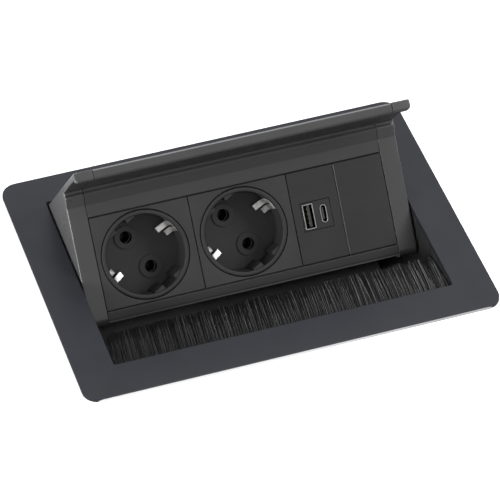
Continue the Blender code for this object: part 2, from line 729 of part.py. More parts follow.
def make_profile(looks, housing, panel):
    """The extruded lid and socket channel."""
    outer_foot = -(CHANNEL_HALF + WALL_T)
    back_top = panel_height_at(LID_UNDER, BACK_N)
    inner = [(*on_panel(HALF_WINDOW, 0.0), 0.0002), (*on_panel(HALF_WINDOW, -HOOK_T), 0),
             (*on_panel(CHANNEL_HALF, -HOOK_T), 0), (*on_panel(CHANNEL_HALF, -CHANNEL_D), 0),
             (*on_panel(-CHANNEL_HALF, -CHANNEL_D), 0.001), (*on_panel(-CHANNEL_HALF, -HOOK_T), 0),
             (*on_panel(-HALF_WINDOW, -HOOK_T), 0), (*on_panel(-HALF_WINDOW, 0.0), 0.0002),
             (*on_panel(outer_foot, -RAIL_LEAN), 0.0011), (*on_panel(outer_foot, BACK_N), 0.0030),
             (*on_panel(back_top, BACK_N), 0.0010)]
    nose_in = arc((0, 0), LID_UNDER, math.pi / 2, NOSE_END, 8)
    nose_out = arc((0, 0), LID_TOP, NOSE_END, math.pi / 2, 10)
    outline = front_contour(LIP_EDGE_R) + inner + [(a, b, 0) for a, b in nose_in + nose_out]
    chamber = rounded(chamber_corners(0.0), 3)
    profile = prism("housing_profile", rounded(outline, 4), WINDOW_LEFT + GAP / 2, WINDOW_RIGHT - GAP / 2,
                    looks["anodised"], housing, holes=(chamber,))
    gland = rod("gland_tool", GLAND_R + GAP, -CHANNEL_HALF - 3 * WALL_T, -CHANNEL_HALF + WALL_T,
                parent=panel, axis="Y", at=(TERMINAL_X, GLAND_N))
    cut(profile, gland)
    return profile


def chamber_corners(margin):
    """The closed chamber between the lid and the socket channel, drawn in by a margin."""
    front = -(HOOK_T + margin)
    floor = CHANNEL_HALF + WALL_T + margin
    roof = LID_UNDER - margin
    rear = on_panel(floor, 0.0)
    lean = math.tan(PANEL_LEAN)
    depth = (roof - rear[1]) / lean / math.cos(PANEL_LEAN) * math.cos(PANEL_LEAN)
    meet = (rear[0] + depth, roof)
    slim = 0.25
    tail = (rear[0] + (meet[0] - rear[0]) * (1 - slim), rear[1] + (meet[1] - rear[1]) * (1 - slim))
    return [(*on_panel(panel_height_at(roof, front), front), 0.0008), (tail[0], roof, 0),
            (tail[0], tail[1], 0), (*on_panel(floor, front), 0.0008)]


def make_end_cap(side, looks, housing):
    """A moulded end cap with the housing's full section, lugs into the profile and blind bores."""
    tag = "left" if side < 0 else "right"
    inner = WINDOW_LEFT - GAP / 2 if side < 0 else WINDOW_RIGHT + GAP / 2
    outer = side * HOUSING_HALF
    foot = -(HALF_WINDOW + CAP_FOOT)
    heel = arc((0, 0), LID_TOP, math.radians(-35), math.pi / 2, 14)
    corners = front_contour(PLATE_EDGE) + [(*on_panel(foot, 0.0), CAP_FOOT_R)]
    corners += [(*on_panel(foot, BACK_N), CAP_HEEL_R)] + [(a, b, 0) for a, b in heel]
    half_turn = 1 - math.sqrt(0.5)
    levels = ((0.0, inner), (0.0, outer - side * CAP_EDGE),
              (CAP_EDGE * half_turn, outer - side * CAP_EDGE * half_turn), (CAP_EDGE, outer))
    loops = [[(x, y, z) for y, z in rounded(inset(corners, depth), 4)] for depth, x in levels]
    cap = loft(f"end_cap_{tag}", loops, looks["cap_plastic"], housing, ring=False)
    low = LID_TOP - LIP_H
    corner = [(outer + side * WALL_T, low - WALL_T), (outer + side * WALL_T, low + LIP_CORNER_R)]
    corner += [(outer - side * LIP_CORNER_R * (1 - math.cos(turn)), low + LIP_CORNER_R * (1 - math.sin(turn)))
               for turn in [math.pi / 2 * k / 6 for k in range(7)]]
    corner.append((outer - side * LIP_CORNER_R, low - WALL_T))
    cut(cap, prism(f"lip_tool_{tag}", corner, -LID_REACH - WALL_T, -LID_REACH + LIP_T + PLATE_EDGE,
                   parent=housing, axis="Y"))
    lug_end = inner - side * LUG_DEPTH
    root = inner + side * LUG_DEPTH / 2
    lug = rounded(chamber_corners(GAP), 3)
    add(cap, prism(f"lug_tool_{tag}", lug, *sorted((lug_end, root)), parent=housing))
    tongue = [on_panel(up, out) for up, out in
              ((CHANNEL_HALF - 2 * GAP, -CHANNEL_D + GAP), (CHANNEL_HALF - 2 * GAP, BASE_BACK - 3 * GAP),
               (-CHANNEL_HALF + 0.0012, BASE_BACK - 3 * GAP), (-CHANNEL_HALF + 0.0012, -CHANNEL_D + GAP))]
    add(cap, prism(f"tongue_tool_{tag}", tongue, *sorted((lug_end, root)), parent=housing))
    bore = sorted((outer - side * PIVOT_BORE, outer + side * PIVOT_BORE))
    cut(cap, rod(f"bore_tool_{tag}", PIVOT_R + GAP, *bore, parent=housing, axis="X", segments=18))
    at = (STOP_ARM * math.cos(STOP_ANGLE), STOP_ARM * math.sin(STOP_ANGLE))
    blind = sorted((outer - side * STOP_BORE, outer + side * STOP_BORE))
    cut(cap, rod(f"stop_tool_{tag}", STOP_R + GAP, *blind, parent=housing, axis="X", at=at, segments=16))
    return cap


def insert_loops(width, count):
    """The stepped outline of an insert: a flange behind the rails and a face in the window."""
    wide = width - 2 * INSERT_JOINT
    flange_h = 2 * CHANNEL_HALF - 2 * GAP
    face_h = WINDOW_H - 2 * INSERT_SLIT
    back = -HOOK_T - GAP - FLANGE_T
    shoulder = -HOOK_T - GAP
    front = -INSERT_SINK
    return [square_loop(wide, flange_h, count, back), square_loop(wide, flange_h, count, shoulder),
            square_loop(wide, face_h, count, shoulder), square_loop(wide, face_h, count, front - INSERT_EDGE),
            square_loop(wide - 2 * INSERT_EDGE, face_h - 2 * INSERT_EDGE, count, front)]


def make_socket(n, x, looks, panel):
    """One earthed socket: face plate, cup, base, earth strap and two contact sleeves."""
    count = 48
    back = -HOOK_T - GAP - FLANGE_T
    hole = CUP_R + CUP_SLIT
    loops = insert_loops(SOCKET_W, count)
    loops += [circle_loop(hole + INSERT_EDGE, count, -INSERT_SINK, RING_SHIFT),
              circle_loop(hole, count, -INSERT_SINK - INSERT_EDGE, RING_SHIFT),
              circle_loop(hole, count, back, RING_SHIFT)]
    plate = loft(f"socket_plate_{n}", loops, looks["insert_plastic"], panel)
    plate.location.x = x
    axis = empty(f"socket_axis_{n}", (x + RING_SHIFT, 0.0, 0.0), PIN_LINE, "Z", panel)
    make_cup(n, looks, axis)
    make_base(n, looks, axis)
    make_earth_strap(n, looks, axis)
    for k, side in enumerate((-1, 1)):
        front = BASE_FRONT - SLEEVE_SINK
        profile = [(SLEEVE_MOUTH, front), (SLEEVE_R, front), (SLEEVE_R, front - SLEEVE_L),
                   (SLEEVE_BORE, front - SLEEVE_L), (SLEEVE_BORE, front - SLEEVE_BORE)]
        lathe(f"contact_sleeve_{n}{'ab'[k]}", profile, looks["brass"], axis, at=(side * PIN_PITCH / 2, 0),
              segments=16, ring=True)


def rib_outline():
    """One guide rib beside a pin: a chord across the recess wall, beyond the middle slot."""
    wall = (RECESS_R + CUP_R) / 2
    near, far = RIB_SLOT / 2, RIB_SLOT / 2 + RIB_W
    rim = arc((0, 0), wall, math.asin(near / wall), math.asin(far / wall), 5)
    return [(RIB_CHORD, far), (RIB_CHORD, near)] + rim


def make_cup(n, looks, axis):
    """The round recess with pin holes, collars, guide ribs and the earth slots."""
    edge = 0.0004
    floor = -RECESS_DEPTH
    profile = [(0, floor - CUP_FLOOR), (CUP_R, floor - CUP_FLOOR), (CUP_R, -edge), (CUP_R - edge, 0),
               (RECESS_R + edge, 0), (RECESS_R, -edge), (RECESS_R, floor), (0, floor)]
    cup = lathe(f"socket_cup_{n}", profile, looks["insert_plastic"], axis, segments=48)
    for k, side in enumerate((-1, 1)):
        at = (side * PIN_PITCH / 2, 0)
        add(cup, rod(f"collar_tool_{n}{k}", COLLAR_R, floor - COLLAR_H, floor + COLLAR_H, parent=axis, at=at,
                     segments=24))
        for m, turn in enumerate((-1, 1)):
            outline = [(side * x, turn * y) for x, y in rib_outline()]
            add(cup, prism(f"rib_tool_{n}{k}{m}", outline, floor - edge, -RIB_TOP, parent=axis, axis="Z"))
        cut(cup, rod(f"hole_tool_{n}{k}", PIN_HOLE_R, floor - 2 * CUP_FLOOR, floor + CUP_FLOOR, parent=axis,
                     at=at, segments=20))
        reach = sorted((side * (RECESS_R - 0.0016), side * (CUP_R + 0.001)))
        half = EARTH_W / 2 + GAP
        cut(cup, block(f"earth_tool_{n}{k}", (-half, half), reach, (floor + 0.0004, -EARTH_SLOT_TOP),
                       parent=axis))
    return cup


def make_base(n, looks, axis):
    """The block behind the cup that holds the contacts."""
    corner = 0.0060
    outline = rounded_rectangle(BASE_W, BASE_W, corner)
    across, along = math.cos(-PIN_LINE), math.sin(-PIN_LINE)
    turned = [(x * across - y * along, x * along + y * across) for x, y in outline]
    base = prism(f"socket_base_{n}", turned, BASE_BACK, BASE_FRONT, looks["black_plastic"], axis, axis="Z")
    groove = EARTH_T + 3 * GAP
    half = EARTH_W / 2 + GAP
    cut(base, block(f"groove_tool_{n}", (-half, half), (-BASE_W, BASE_W),
                    (BASE_FRONT - groove, BASE_FRONT + GAP), parent=axis))
    for k, side in enumerate((-1, 1)):
        cut(base, rod(f"pocket_tool_{n}{k}", SLEEVE_R + GAP, BASE_FRONT - SLEEVE_SINK - SLEEVE_L - GAP,
                      BASE_FRONT + GAP, parent=axis, at=(side * PIN_PITCH / 2, 0), segments=20))
    return base


def make_earth_strap(n, looks, axis):
    """The U-shaped earth strap: a long and a short spring finger at each end, joined behind the cup."""
    outside = CUP_R + GAP + EARTH_T / 2
    floor = BASE_FRONT - GAP - EARTH_T / 2
    root = (RECESS_R + 0.00035, -0.0066)
    side = [root, (RECESS_R + 0.00145, -0.0058), (outside, -0.0070), (outside, floor)]
    path = side + [(-q, h) for q, h in side[::-1]]
    strap = prism(f"earth_strap_{n}", strip(path, EARTH_T), -EARTH_W / 2, EARTH_W / 2, looks["nickel"], axis)
    long_finger = [(RECESS_R - 0.00615, -0.0159), (RECESS_R - 0.00585, -0.0148),
                   (RECESS_R - 0.00195, -0.0132), (RECESS_R - 0.00035, -0.0115), root]
    short_finger = [(RECESS_R - 0.00375, -0.0159), (RECESS_R - 0.00345, -0.0148),
                    (RECESS_R - 0.00095, -0.0136), (RECESS_R - 0.00015, -0.0115), root]
    inner, outer = EARTH_SPLIT / 2, EARTH_W / 2 - PLATE_EDGE / 4
    for k, turn in enumerate((-1, 1)):
        for m, finger in enumerate((long_finger, short_finger)):
            bent = [(turn * q, h) for q, h in finger + [(RECESS_R + 0.00085, -0.0062)]]
            lane = -turn if m == 0 else turn
            add(strap, prism(f"finger_tool_{n}{k}{m}", strip(bent, EARTH_T * 0.9),
                             *sorted((lane * inner, lane * outer)), parent=axis))
    return strap


def make_busbars(looks, panel):
    """Three flat bars behind the socket bases, which link the sockets, the charger and the terminals."""
    back = BASE_BACK - GAP
    left = WINDOW_LEFT + SOCKET_W / 2 + RING_SHIFT
    for tag, up in (("line", BAR_PITCH), ("earth", 0.0), ("neutral", -BAR_PITCH)):
        block(f"busbar_{tag}", (left, TERMINAL_X), (up - BAR_W / 2, up + BAR_W / 2), (back - BAR_T, back),
              looks["brass"], panel)


def make_charger(x, looks, panel):
    """The USB insert: cover, port face, both receptacles, board, transformer and rear housing."""
    count = 24
    back = -HOOK_T - GAP - FLANGE_T
    loops = insert_loops(USB_W, count)
    window_w = PORT_FACE_W + 2 * PORT_SLIT
    window_h = PORT_FACE_H + 2 * PORT_SLIT
    loops += [square_loop(window_w, window_h, count, -INSERT_SINK, PORT_FACE_X),
              square_loop(window_w, window_h, count, back, PORT_FACE_X)]
    cover = loft("usb_cover", loops, looks["insert_plastic"], panel)
    cover.location.x = x
    face = block("usb_port_face", (PORT_FACE_X - PORT_FACE_W / 2, PORT_FACE_X + PORT_FACE_W / 2),
                 (-PORT_FACE_H / 2, PORT_FACE_H / 2), (-PORT_DEPTH, -INSERT_SINK),
                 looks["insert_plastic"], panel)
    face.location.x = x
    ports = (("a", USB_A_X, USB_A_W, USB_A_H, 0.0004, USB_A_WALL), ("c", USB_C_X, USB_C_W, USB_C_H, USB_C_W / 2,
                                                                   USB_C_WALL))
    for tag, port_x, width, height, corner, wall in ports:
        at = (x + port_x, 0.0)
        opening = rounded_rectangle(width + 2 * GAP, height + 2 * GAP, corner + GAP, 4, at)
        cut(face, prism(f"port_tool_{tag}", opening, -2 * PORT_DEPTH, PORT_DEPTH, parent=panel, axis="Z"))
        outer = rounded_rectangle(width, height, corner, 4, at)
        inner = rounded_rectangle(width - 2 * wall, height - 2 * wall, max(corner - wall, 0.0001), 4, at)
        levels = ((outer, -PORT_DEPTH), (outer, 0.0), (inner, 0.0), (inner, -PORT_DEPTH + wall))
        rows = [[(a, b, level) for a, b in outline] for outline, level in levels]
        loft(f"usb_{tag}_shell", rows, looks["nickel"], panel, ring=False)
    tongue_back = -PORT_DEPTH + USB_A_WALL + GAP
    half_a = USB_A_H / 2 - USB_A_WALL - GAP
    block("usb_a_tongue", [x + USB_A_X + side for side in USB_A_TONGUE_X], (-half_a, half_a),
          (tongue_back, -USB_A_TONGUE_SINK), looks["ferrite"], panel)
    half_c = (USB_C_H - USB_C_W) / 2
    half_t = USB_C_TONGUE_T / 2
    block("usb_c_tongue", (x + USB_C_X - half_t, x + USB_C_X + half_t), (-half_c, half_c),
          (-PORT_DEPTH + USB_C_WALL + GAP, -USB_C_TONGUE_SINK), looks["ferrite"], panel)
    make_charger_rear(x, looks, panel)


def make_charger_rear(x, looks, panel):
    """What sits behind the USB cover: the housing tray with the board and the transformer in it."""
    front = -HOOK_T - GAP - FLANGE_T - GAP
    wide, tall = USB_W - 0.0010, 2 * CHANNEL_HALF - 0.0060
    wall = 0.0012
    rear = front - CHARGER_D
    rows = []
    for inset, level in ((0, rear), (0, front), (wall, front), (wall, rear + wall)):
        outline = rounded_rectangle(wide - 2 * inset, tall - 2 * inset, 0.0018 - inset, 3, (x, 0.0))
        rows.append([(a, b, level) for a, b in outline])
    loft("charger_housing", rows, looks["inner_plastic"], panel, ring=False)
    half_w, half_h = wide / 2 - wall - GAP, tall / 2 - wall - GAP
    board_top = -PORT_DEPTH - GAP
    block("charger_board", (x - half_w, x + half_w), (-half_h, half_h), (board_top - 0.0016, board_top),
          looks["board"], panel)
    coil_front = board_top - 0.0016 - GAP
    body = rounded_rectangle(0.0150, 0.0160, 0.0012, 2, (x, -0.0080))
    prism("charger_transformer", body, coil_front - 0.0100, coil_front, looks["ferrite"], panel, axis="Z")


def make_blank(x, looks, panel):
    """The blank insert: a shallow tray with a plain face."""
    count = 16
    back = -HOOK_T - GAP - FLANGE_T
    loops = insert_loops(BLANK_W, count)
    skin = -INSERT_SINK - INSERT_SKIN
    wide, tall = BLANK_W - 2 * INSERT_SKIN, WINDOW_H - 4 * INSERT_SKIN
    mesh_rows = [square_loop(wide, tall, count, skin), square_loop(wide, tall, count, back)] + loops
    blank = loft("blank_insert", mesh_rows, looks["insert_plastic"], panel, ring=False)
    blank.location.x = x
    return blank


def make_entry(looks, panel):
    """The mains entry behind the blank insert: a bare gland in the floor and a terminal block."""
    lip = 0.0014
    outer = -(CHANNEL_HALF + WALL_T)
    inner = -CHANNEL_HALF
    profile = [(GLAND_BORE, outer - GAP - lip), (GLAND_R + lip, outer - GAP - lip),
               (GLAND_R + lip, outer - GAP), (GLAND_R, outer - GAP), (GLAND_R, inner + GAP),
               (GLAND_R + lip / 2, inner + GAP), (GLAND_R + lip / 2, inner + GAP + lip / 2),
               (GLAND_BORE, inner + GAP + lip / 2)]
    lathe("cable_gland", profile, looks["rubber"], panel, axis="Y", at=(TERMINAL_X, GLAND_N), ring=True,
          segments=20)
    half_w, half_h = TERMINAL_W / 2, TERMINAL_H / 2
    front = BASE_BACK + TERMINAL_D
    body = block("terminal_block", (TERMINAL_X - half_w, TERMINAL_X + half_w), (-half_h, half_h),
                 (BASE_BACK, front), looks["inner_plastic"], panel)
    for k, up in enumerate((BAR_PITCH, 0.0, -BAR_PITCH)):
        cut(body, rod(f"terminal_tool_{k}", TERMINAL_BORE_R, front - TERMINAL_BORE_R * 2, front + WALL_T,
                      parent=panel, at=(TERMINAL_X, up), segments=12))


def main():
    clear_scene()
    looks = make_looks()
    make_plate(looks)
    make_nuts(looks)
    make_wrap(looks)
    make_outlet_trim(looks)
    make_brush(looks)
    make_clips(looks)
    housing = empty("housing_pivot", (0.0, PIVOT_Y, PIVOT_Z), -OPEN_ANGLE)
    panel = empty("socket_panel", (0.0, PANEL_Y, PANEL_Z), math.pi / 2 + PANEL_LEAN, parent=housing)
    make_profile(looks, housing, panel)
    for side in (-1, 1):
        make_cheek(side, looks)
        make_pivot(side, looks, housing)
        make_stop_pin(side, looks, housing)
        make_end_cap(side, looks, housing)
    for n in (1, 2):
        make_socket(n, WINDOW_LEFT + (n - 0.5) * SOCKET_W, looks, panel)
    make_charger(WINDOW_LEFT + 2 * SOCKET_W + USB_W / 2, looks, panel)
    make_blank(WINDOW_RIGHT - BLANK_W / 2, looks, panel)
    make_busbars(looks, panel)
    make_entry(looks, panel)


main()
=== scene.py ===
"""Looks for the in-desk power module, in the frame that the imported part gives."""
import json
import math
import random

import bpy
from mathutils import Matrix, Vector

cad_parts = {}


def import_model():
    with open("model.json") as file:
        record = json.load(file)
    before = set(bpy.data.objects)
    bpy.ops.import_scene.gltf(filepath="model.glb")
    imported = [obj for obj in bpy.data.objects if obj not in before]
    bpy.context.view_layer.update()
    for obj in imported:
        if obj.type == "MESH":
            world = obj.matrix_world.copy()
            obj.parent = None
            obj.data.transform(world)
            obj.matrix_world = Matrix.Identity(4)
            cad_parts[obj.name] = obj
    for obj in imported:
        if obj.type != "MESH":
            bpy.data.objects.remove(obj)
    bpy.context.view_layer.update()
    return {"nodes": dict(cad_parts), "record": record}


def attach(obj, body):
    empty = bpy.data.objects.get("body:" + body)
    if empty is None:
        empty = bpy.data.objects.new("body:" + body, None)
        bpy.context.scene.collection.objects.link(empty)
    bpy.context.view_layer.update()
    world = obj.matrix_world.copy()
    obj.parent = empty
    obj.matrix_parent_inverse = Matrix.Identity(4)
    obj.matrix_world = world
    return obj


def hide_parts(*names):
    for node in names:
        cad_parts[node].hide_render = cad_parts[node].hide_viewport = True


# Places taken over from the part, in metres
DESK_Z = 0.0780
PLATE_TOP = 0.0800
CUTOUT = (0.1920, 0.1380)
PANEL_ORIGIN = Vector((0.0, 0.00365, 0.08476))
PANEL_UP = Vector((0.0, 0.62592, 0.77989))
PANEL_OUT = Vector((0.0, -0.77989, 0.62592))
CAP_OUTER = 0.0815          # half width beyond which only the end caps' outer edges lie

# The photograph's camera: place, axes (right, up, back), and lens and sensor in millimetres
CAMERA_AT = Vector((-0.36974, -1.09918, PLATE_TOP + 1.13557))
CAMERA_AXES = ((0.9485, -0.3167, 0.0035), (0.2196, 0.6657, 0.7131), (-0.2282, -0.6757, 0.7010))
CAMERA_LENS = 241.2
CAMERA_SENSOR = 36.0

# The lamps look at the middle of the plate, the rear one at the lid
PLATE_MIDDLE = (0.0, 0.0, PLATE_TOP)
LID_MIDDLE = (0.0, 0.0, 0.14)
FRONT_LAMP_LIFT = 0.06      # the weak front lamp stands this far above the camera

# World: strength at the horizon and above, the heights between them, and diffuse light's share
HORIZON = 0.25
OVERHEAD = 1.0
HORIZON_Z = (0.05, 0.45)
DIFFUSE_SHARE = 0.38

# White desk top: tone for the camera and for other rays, and what lifts it to white for the camera
DESK_SEEN = 0.92
DESK_BOUNCE = 0.70
DESK_LIFT = 0.55
DESK_REACH = 4.0
DESK_THICKNESS = 0.025
DESK_GAP = 0.0001           # keeps the desk's face just below the plate's underside

# Smooth shading
SHARP_ANGLE = math.radians(50)
WELD_DISTANCE = 0.000001
NORMAL_WEIGHT = 80

# Materials: noise's useful range, the scale of the slow mottling, what it does to the gloss,
# the grain's strength, broken edges, and grain pulled out along an axis
NOISE_RANGE = (0.3, 0.7)
MOTTLE = 60.0
GLOSS_SPREAD = 0.04
GRAIN_STRENGTH = 0.35
EDGE_RADIUS = 0.00025
METAL_EDGE_RADIUS = 0.0001
RECEPTACLE_EDGE_RADIUS = 0.00006
EDGE_SAMPLES = 6
ALONG_X = (60.0, 1.0, 1.0)
ALONG_Z = (1.0, 1.0, 40.0)

# Painted shade: receptacles are darkened from this depth below the panel's face on
SHADE_DEPTH = 0.0007
DARK_TONE = 0.03

# Painted highlights along the caps' outer edges: bevel radius, and the turn of the normal over
# which the line comes up
HIGHLIGHT_RADIUS = 0.0011
HIGHLIGHT_SAMPLES = 8
HIGHLIGHT_TURN = (0.95, 0.80)
# the caps' faces that look sideways get painted side light
SIDEWAYS = 0.9              # a face looks sideways when its normal's x is more than this

# Painted light and shade along edges: the direction in which each edge lies furthest, and how wide
# its lines are; the plate's painted reflection turns to a lesser white over a range in x
LID_EDGE = Vector((0.0, 0.35, 0.937))
LID_HIGHLIGHT_WIDTH = 0.00026
RAIL_EDGE = (PANEL_OUT - PANEL_UP).normalized()
RAIL_GROOVE_SHADE_WIDTH = 0.0008
RAIL_HIGHLIGHT_WIDTH = 0.00022
PLATE_EDGE = Vector((0.0, -0.95, -0.31))
PLATE_REFLECTION_WIDTH = 0.00052
PLATE_REFLECTION_FADE = (-0.01, 0.07)
SHADING_FULL = 0.7           # share of its width over which a painted edge line has its full tone

# Brush strip: the strands' places, their scatter, their tones, and the painted shade over them
BRISTLES = 6500
BRISTLE_SEED = 41
BRISTLE_HALF = 0.0840
BRISTLE_ROOT_Y = -0.0634
BRISTLE_MOUTH_Y = -0.0566
BRISTLE_TIP_Y = -0.0311
BRISTLE_Z = 0.0755
BRISTLE_DROOP = 0.0023
BRISTLE_LEAN = 0.0026
BRISTLE_LEAN_FALL = 0.0007
BRISTLE_STACK = 0.0009
BRISTLE_R = 0.00010
BRISTLE_TAPER = 0.08
LIGHT_EVERY = 26            # one light, coarse strand on top for so many fine, dark ones
LIGHT_R = 0.00012
TUFTS = 70
TUFT_END = 1.001            # a little over 1, so that the last strand has a tuft on either side
TUFT_SPREAD = 0.0003
TIP_SPREAD = 0.0008
LEAN_SPREAD = 0.0004
LEAN_ROOM = 0.7             # share of the way to the right end that a strand may lean
END_SPREAD = 0.0006
CURL_SPREAD = 0.00005
DROOP_SPREAD = 0.0004
STACK_CLOSING = 0.55        # share of the stack's height that is gone at the tips
STRAND_SHARES = (0.35, 0.7, 1.0)
STRAND_SIDES = 3
STRAND_TURN = 0.5
DARK_TONES = 0.7            # dark strands have tones up to this, light ones from LIGHT_TONES to 1
LIGHT_TONES = 0.75
MIDDLE_TONE = 0.72
# painted shade on the strands: tone factors from left to right, and from the mouth to the tips
SHADE_ACROSS = (0.22, 0.88)
SHADE_OUTWARD = (0.45, 1.35)

# Painted highlight: a light strip at the blank insert's joint with the USB insert
JOINT_ACROSS = (0.04960, 0.04990)
JOINT_UP = 0.0225
JOINT_OUT = (-0.0012, 0.00003)

# USB type A contacts
CONTACT_ACROSS = (0.03313, 0.03330)
CONTACT_PLACES = (-0.0035, -0.0011, 0.0011, 0.0035)
CONTACT_HALF = 0.0005
CONTACT_OUT = (-0.0105, -0.0028)

BOX_FACES = ((0, 1, 3, 2), (4, 6, 7, 5), (0, 4, 5, 1), (2, 3, 7, 6), (1, 5, 7, 3), (0, 2, 6, 4))

# Nodes whose look isn't that of their slot, by a part of their name
OWN_LOOKS = {
    "_shell": "receptacle_metal",
    "_tongue": "tongue_plastic",
    "contact_sleeve": "sleeve_brass",
    "socket_cup": "cup_plastic",
    "socket_plate": "socket_plastic",
    "tub_wrap": "tub_sheet_painted_light",
}


def node_tree(owner):
    """The nodes and links of a material or of the world."""
    return owner.node_tree.nodes, owner.node_tree.links


def shader_of(material):
    return material.node_tree.nodes["Principled BSDF"]


def set_or_link(links, socket, value):
    """Gives a socket a plain value, or another node's output."""
    if isinstance(value, bpy.types.NodeSocket):
        links.new(value, socket)
    else:
        socket.default_value = value


def math_node(owner, operation, *values):
    nodes, links = node_tree(owner)
    node = nodes.new("ShaderNodeMath")
    node.operation = operation
    for socket, value in zip(node.inputs, values):
        set_or_link(links, socket, value)
    return node.outputs["Value"]


def dot(owner, first, second):
    nodes, links = node_tree(owner)
    node = nodes.new("ShaderNodeVectorMath")
    node.operation = "DOT_PRODUCT"
    set_or_link(links, node.inputs[0], first)
    set_or_link(links, node.inputs[1], second)
    return node.outputs["Value"]


def ranged(owner, value, source, target=(0.0, 1.0), kind="LINEAR"):
    """Maps a value from one range to another."""
    nodes, links = node_tree(owner)
    node = nodes.new("ShaderNodeMapRange")
    node.interpolation_type = kind
    node.inputs["From Min"].default_value = source[0]
    node.inputs["From Max"].default_value = source[1]
    node.inputs["To Min"].default_value = target[0]
    node.inputs["To Max"].default_value = target[1]
    links.new(value, node.inputs["Value"])
    return node.outputs["Result"]


def coordinate(owner, vector, axis):
    nodes, links = node_tree(owner)
    node = nodes.new("ShaderNodeSeparateXYZ")
    links.new(vector, node.inputs["Vector"])
    return node.outputs[axis]


def own_place(material):
    """The shaded point in the part's own coordinates."""
    nodes, _ = node_tree(material)
    return nodes.new("ShaderNodeTexCoord").outputs["Object"]


def face_normal(material):
    nodes, _ = node_tree(material)
    return nodes.new("ShaderNodeNewGeometry").outputs["True Normal"]


def rounded_normal(material, radius, samples):
    """The normal as it would be with edges rounded to a radius."""
    nodes, _ = node_tree(material)
    bevel = nodes.new("ShaderNodeBevel")
    bevel.samples = samples
    bevel.inputs["Radius"].default_value = radius
    return bevel.outputs["Normal"]


def mixed(material, share, first, second):
    """A colour between two."""
    nodes, links = node_tree(material)
    node = nodes.new("ShaderNodeMix")
    node.data_type = "RGBA"
    links.new(share, node.inputs["Factor"])
    set_or_link(links, node.inputs["A"], first)
    set_or_link(links, node.inputs["B"], second)
    return node.outputs["Result"]


def set_base(material, colour):
    _, links = node_tree(material)
    links.new(colour, shader_of(material).inputs["Base Color"])


def base_of(material):
    """What the base colour is linked to so far."""
    return shader_of(material).inputs["Base Color"].links[0].from_socket


def opaque(colour, factor=1.0):
    return (*(min(tone * factor, 1.0) for tone in colour), 1.0)


def new_material(name, colour, roughness, metallic=0.0, specular=0.5):
    material = bpy.data.materials.new(name)
    material.use_nodes = True
    shader = shader_of(material)
    shader.inputs["Base Color"].default_value = opaque(colour)
    shader.inputs["Roughness"].default_value = roughness
    shader.inputs["Metallic"].default_value = metallic
    shader.inputs["Specular IOR Level"].default_value = specular
    return material


def noise(material, scale, detail, stretch=(1.0, 1.0, 1.0)):
    """Noise in the part's own coordinates; stretch pulls the pattern out along an axis."""
    nodes, links = node_tree(material)
    mapping = nodes.new("ShaderNodeMapping")
    mapping.inputs["Scale"].default_value = tuple(1.0 / pull for pull in stretch)
    links.new(own_place(material), mapping.inputs["Vector"])
    texture = nodes.new("ShaderNodeTexNoise")
    texture.inputs["Scale"].default_value = scale
    texture.inputs["Detail"].default_value = detail
    links.new(mapping.outputs["Vector"], texture.inputs["Vector"])
    return texture.outputs["Fac"]


def relief(material, height, strength, depth, edge_radius):
    """Bump over edges rounded to a radius."""
    nodes, links = node_tree(material)
    bump = nodes.new("ShaderNodeBump")
    bump.inputs["Strength"].default_value = strength
    bump.inputs["Distance"].default_value = depth
    links.new(height, bump.inputs["Height"])
    links.new(rounded_normal(material, edge_radius, EDGE_SAMPLES), bump.inputs["Normal"])
    links.new(bump.outputs["Normal"], shader_of(material).inputs["Normal"])


def grained(name, colour, roughness, grain, depth, metallic=0.0, contrast=0.08, edge=EDGE_RADIUS,
            stretch=(1.0, 1.0, 1.0), specular=0.5):
    """Name and material of a surface with fine grain, slow mottling and broken edges."""
    material = new_material(name, colour, roughness, metallic, specular)
    _, links = node_tree(material)
    slow = noise(material, MOTTLE, detail=4.0)
    share = ranged(material, slow, NOISE_RANGE)
    dark, light = opaque(colour, 1 - contrast), opaque(colour, 1 + contrast)
    set_base(material, mixed(material, share, dark, light))
    glosses = (roughness - GLOSS_SPREAD, roughness + GLOSS_SPREAD)
    gloss = ranged(material, slow, NOISE_RANGE, glosses)
    links.new(gloss, shader_of(material).inputs["Roughness"])
    fine = noise(material, grain, detail=3.0, stretch=stretch)
    relief(material, fine, GRAIN_STRENGTH, depth, edge)
    return name, material


def rolled_sheet(name):
    """Name and material of black sheet metal with upright rolling streaks."""
    material = new_material(name, (0.02, 0.02, 0.02), roughness=0.55, specular=0.2)
    streaks = noise(material, 1400.0, detail=2.0, stretch=ALONG_Z)
    share = ranged(material, streaks, NOISE_RANGE)
    dark, light = opaque((0.010, 0.010, 0.010)), opaque((0.048, 0.048, 0.049))
    set_base(material, mixed(material, share, dark, light))
    relief(material, streaks, strength=0.3, depth=0.00003, edge_radius=EDGE_RADIUS)
    return name, material


def paint_receptacle_shade(material):
    """Paints shade below the panel's face, darkening the inside of a receptacle."""
    level = PANEL_ORIGIN.dot(PANEL_OUT)
    out = dot(material, own_place(material), tuple(PANEL_OUT))
    share = ranged(material, out, (level - SHADE_DEPTH, level - SHADE_DEPTH / 3), (DARK_TONE, 1.0))
    set_base(material, mixed(material, share, (0.0, 0.0, 0.0, 1.0), base_of(material)))


def lighten(material, mask, colour):
    """Mixes another tone over the base colour where the mask is 1."""
    set_base(material, mixed(material, mask, base_of(material), opaque(colour)))


def paint_side_light(material, colour):
    """Painted light: a paler tone on the faces that look sideways, as if lit from the side."""
    sideways = math_node(material, "ABSOLUTE", coordinate(material, face_normal(material), "X"))
    lighten(material, math_node(material, "GREATER_THAN", sideways, SIDEWAYS), colour)


